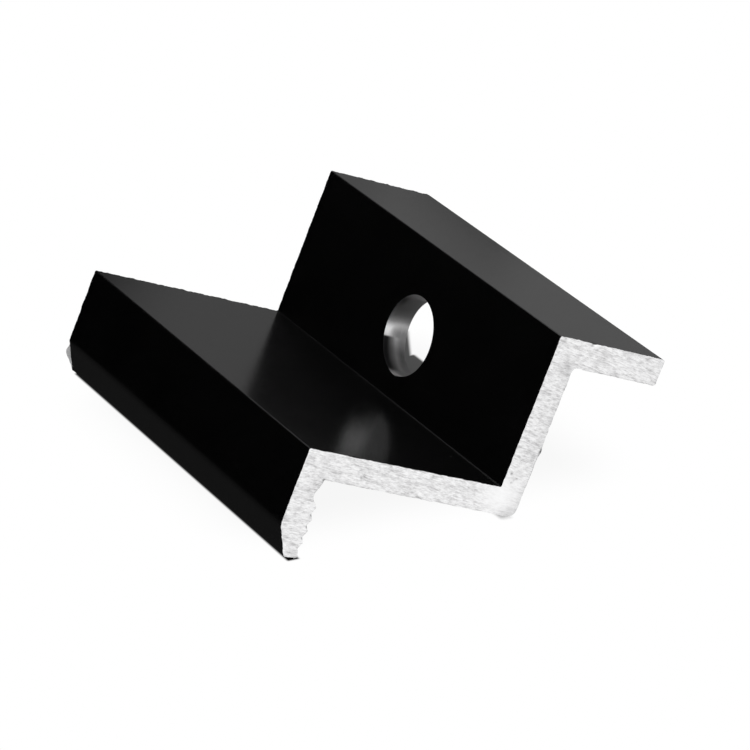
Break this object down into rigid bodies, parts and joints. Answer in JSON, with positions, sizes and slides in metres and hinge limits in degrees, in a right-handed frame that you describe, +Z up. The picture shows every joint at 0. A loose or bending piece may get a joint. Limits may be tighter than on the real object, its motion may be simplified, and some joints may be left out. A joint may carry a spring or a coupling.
{
  "type": "solar end clamp",
  "caption": "Extruded aluminium end clamp for a solar panel: toothed lip over the panel frame, web, shelf with a bolt hole, and a leg that stands on the rail.",
  "frame": {"origin": "centre of the bolt hole, on the shelf's upper face, where the bolt head seats", "axes": "+Z up off the rail along the bolt, +Y along the extrusion, +X from the web to the leg, so the panel is on the -X side"},
  "size_m": [0.029, 0.05, 0.0385],
  "materials": {
    "black_anodised": "satin black anodised skin, with bare sawn ends"
  },
  "bodies": {
    "root": {"clamp_body": "black_anodised"}
  },
  "joints": []
}
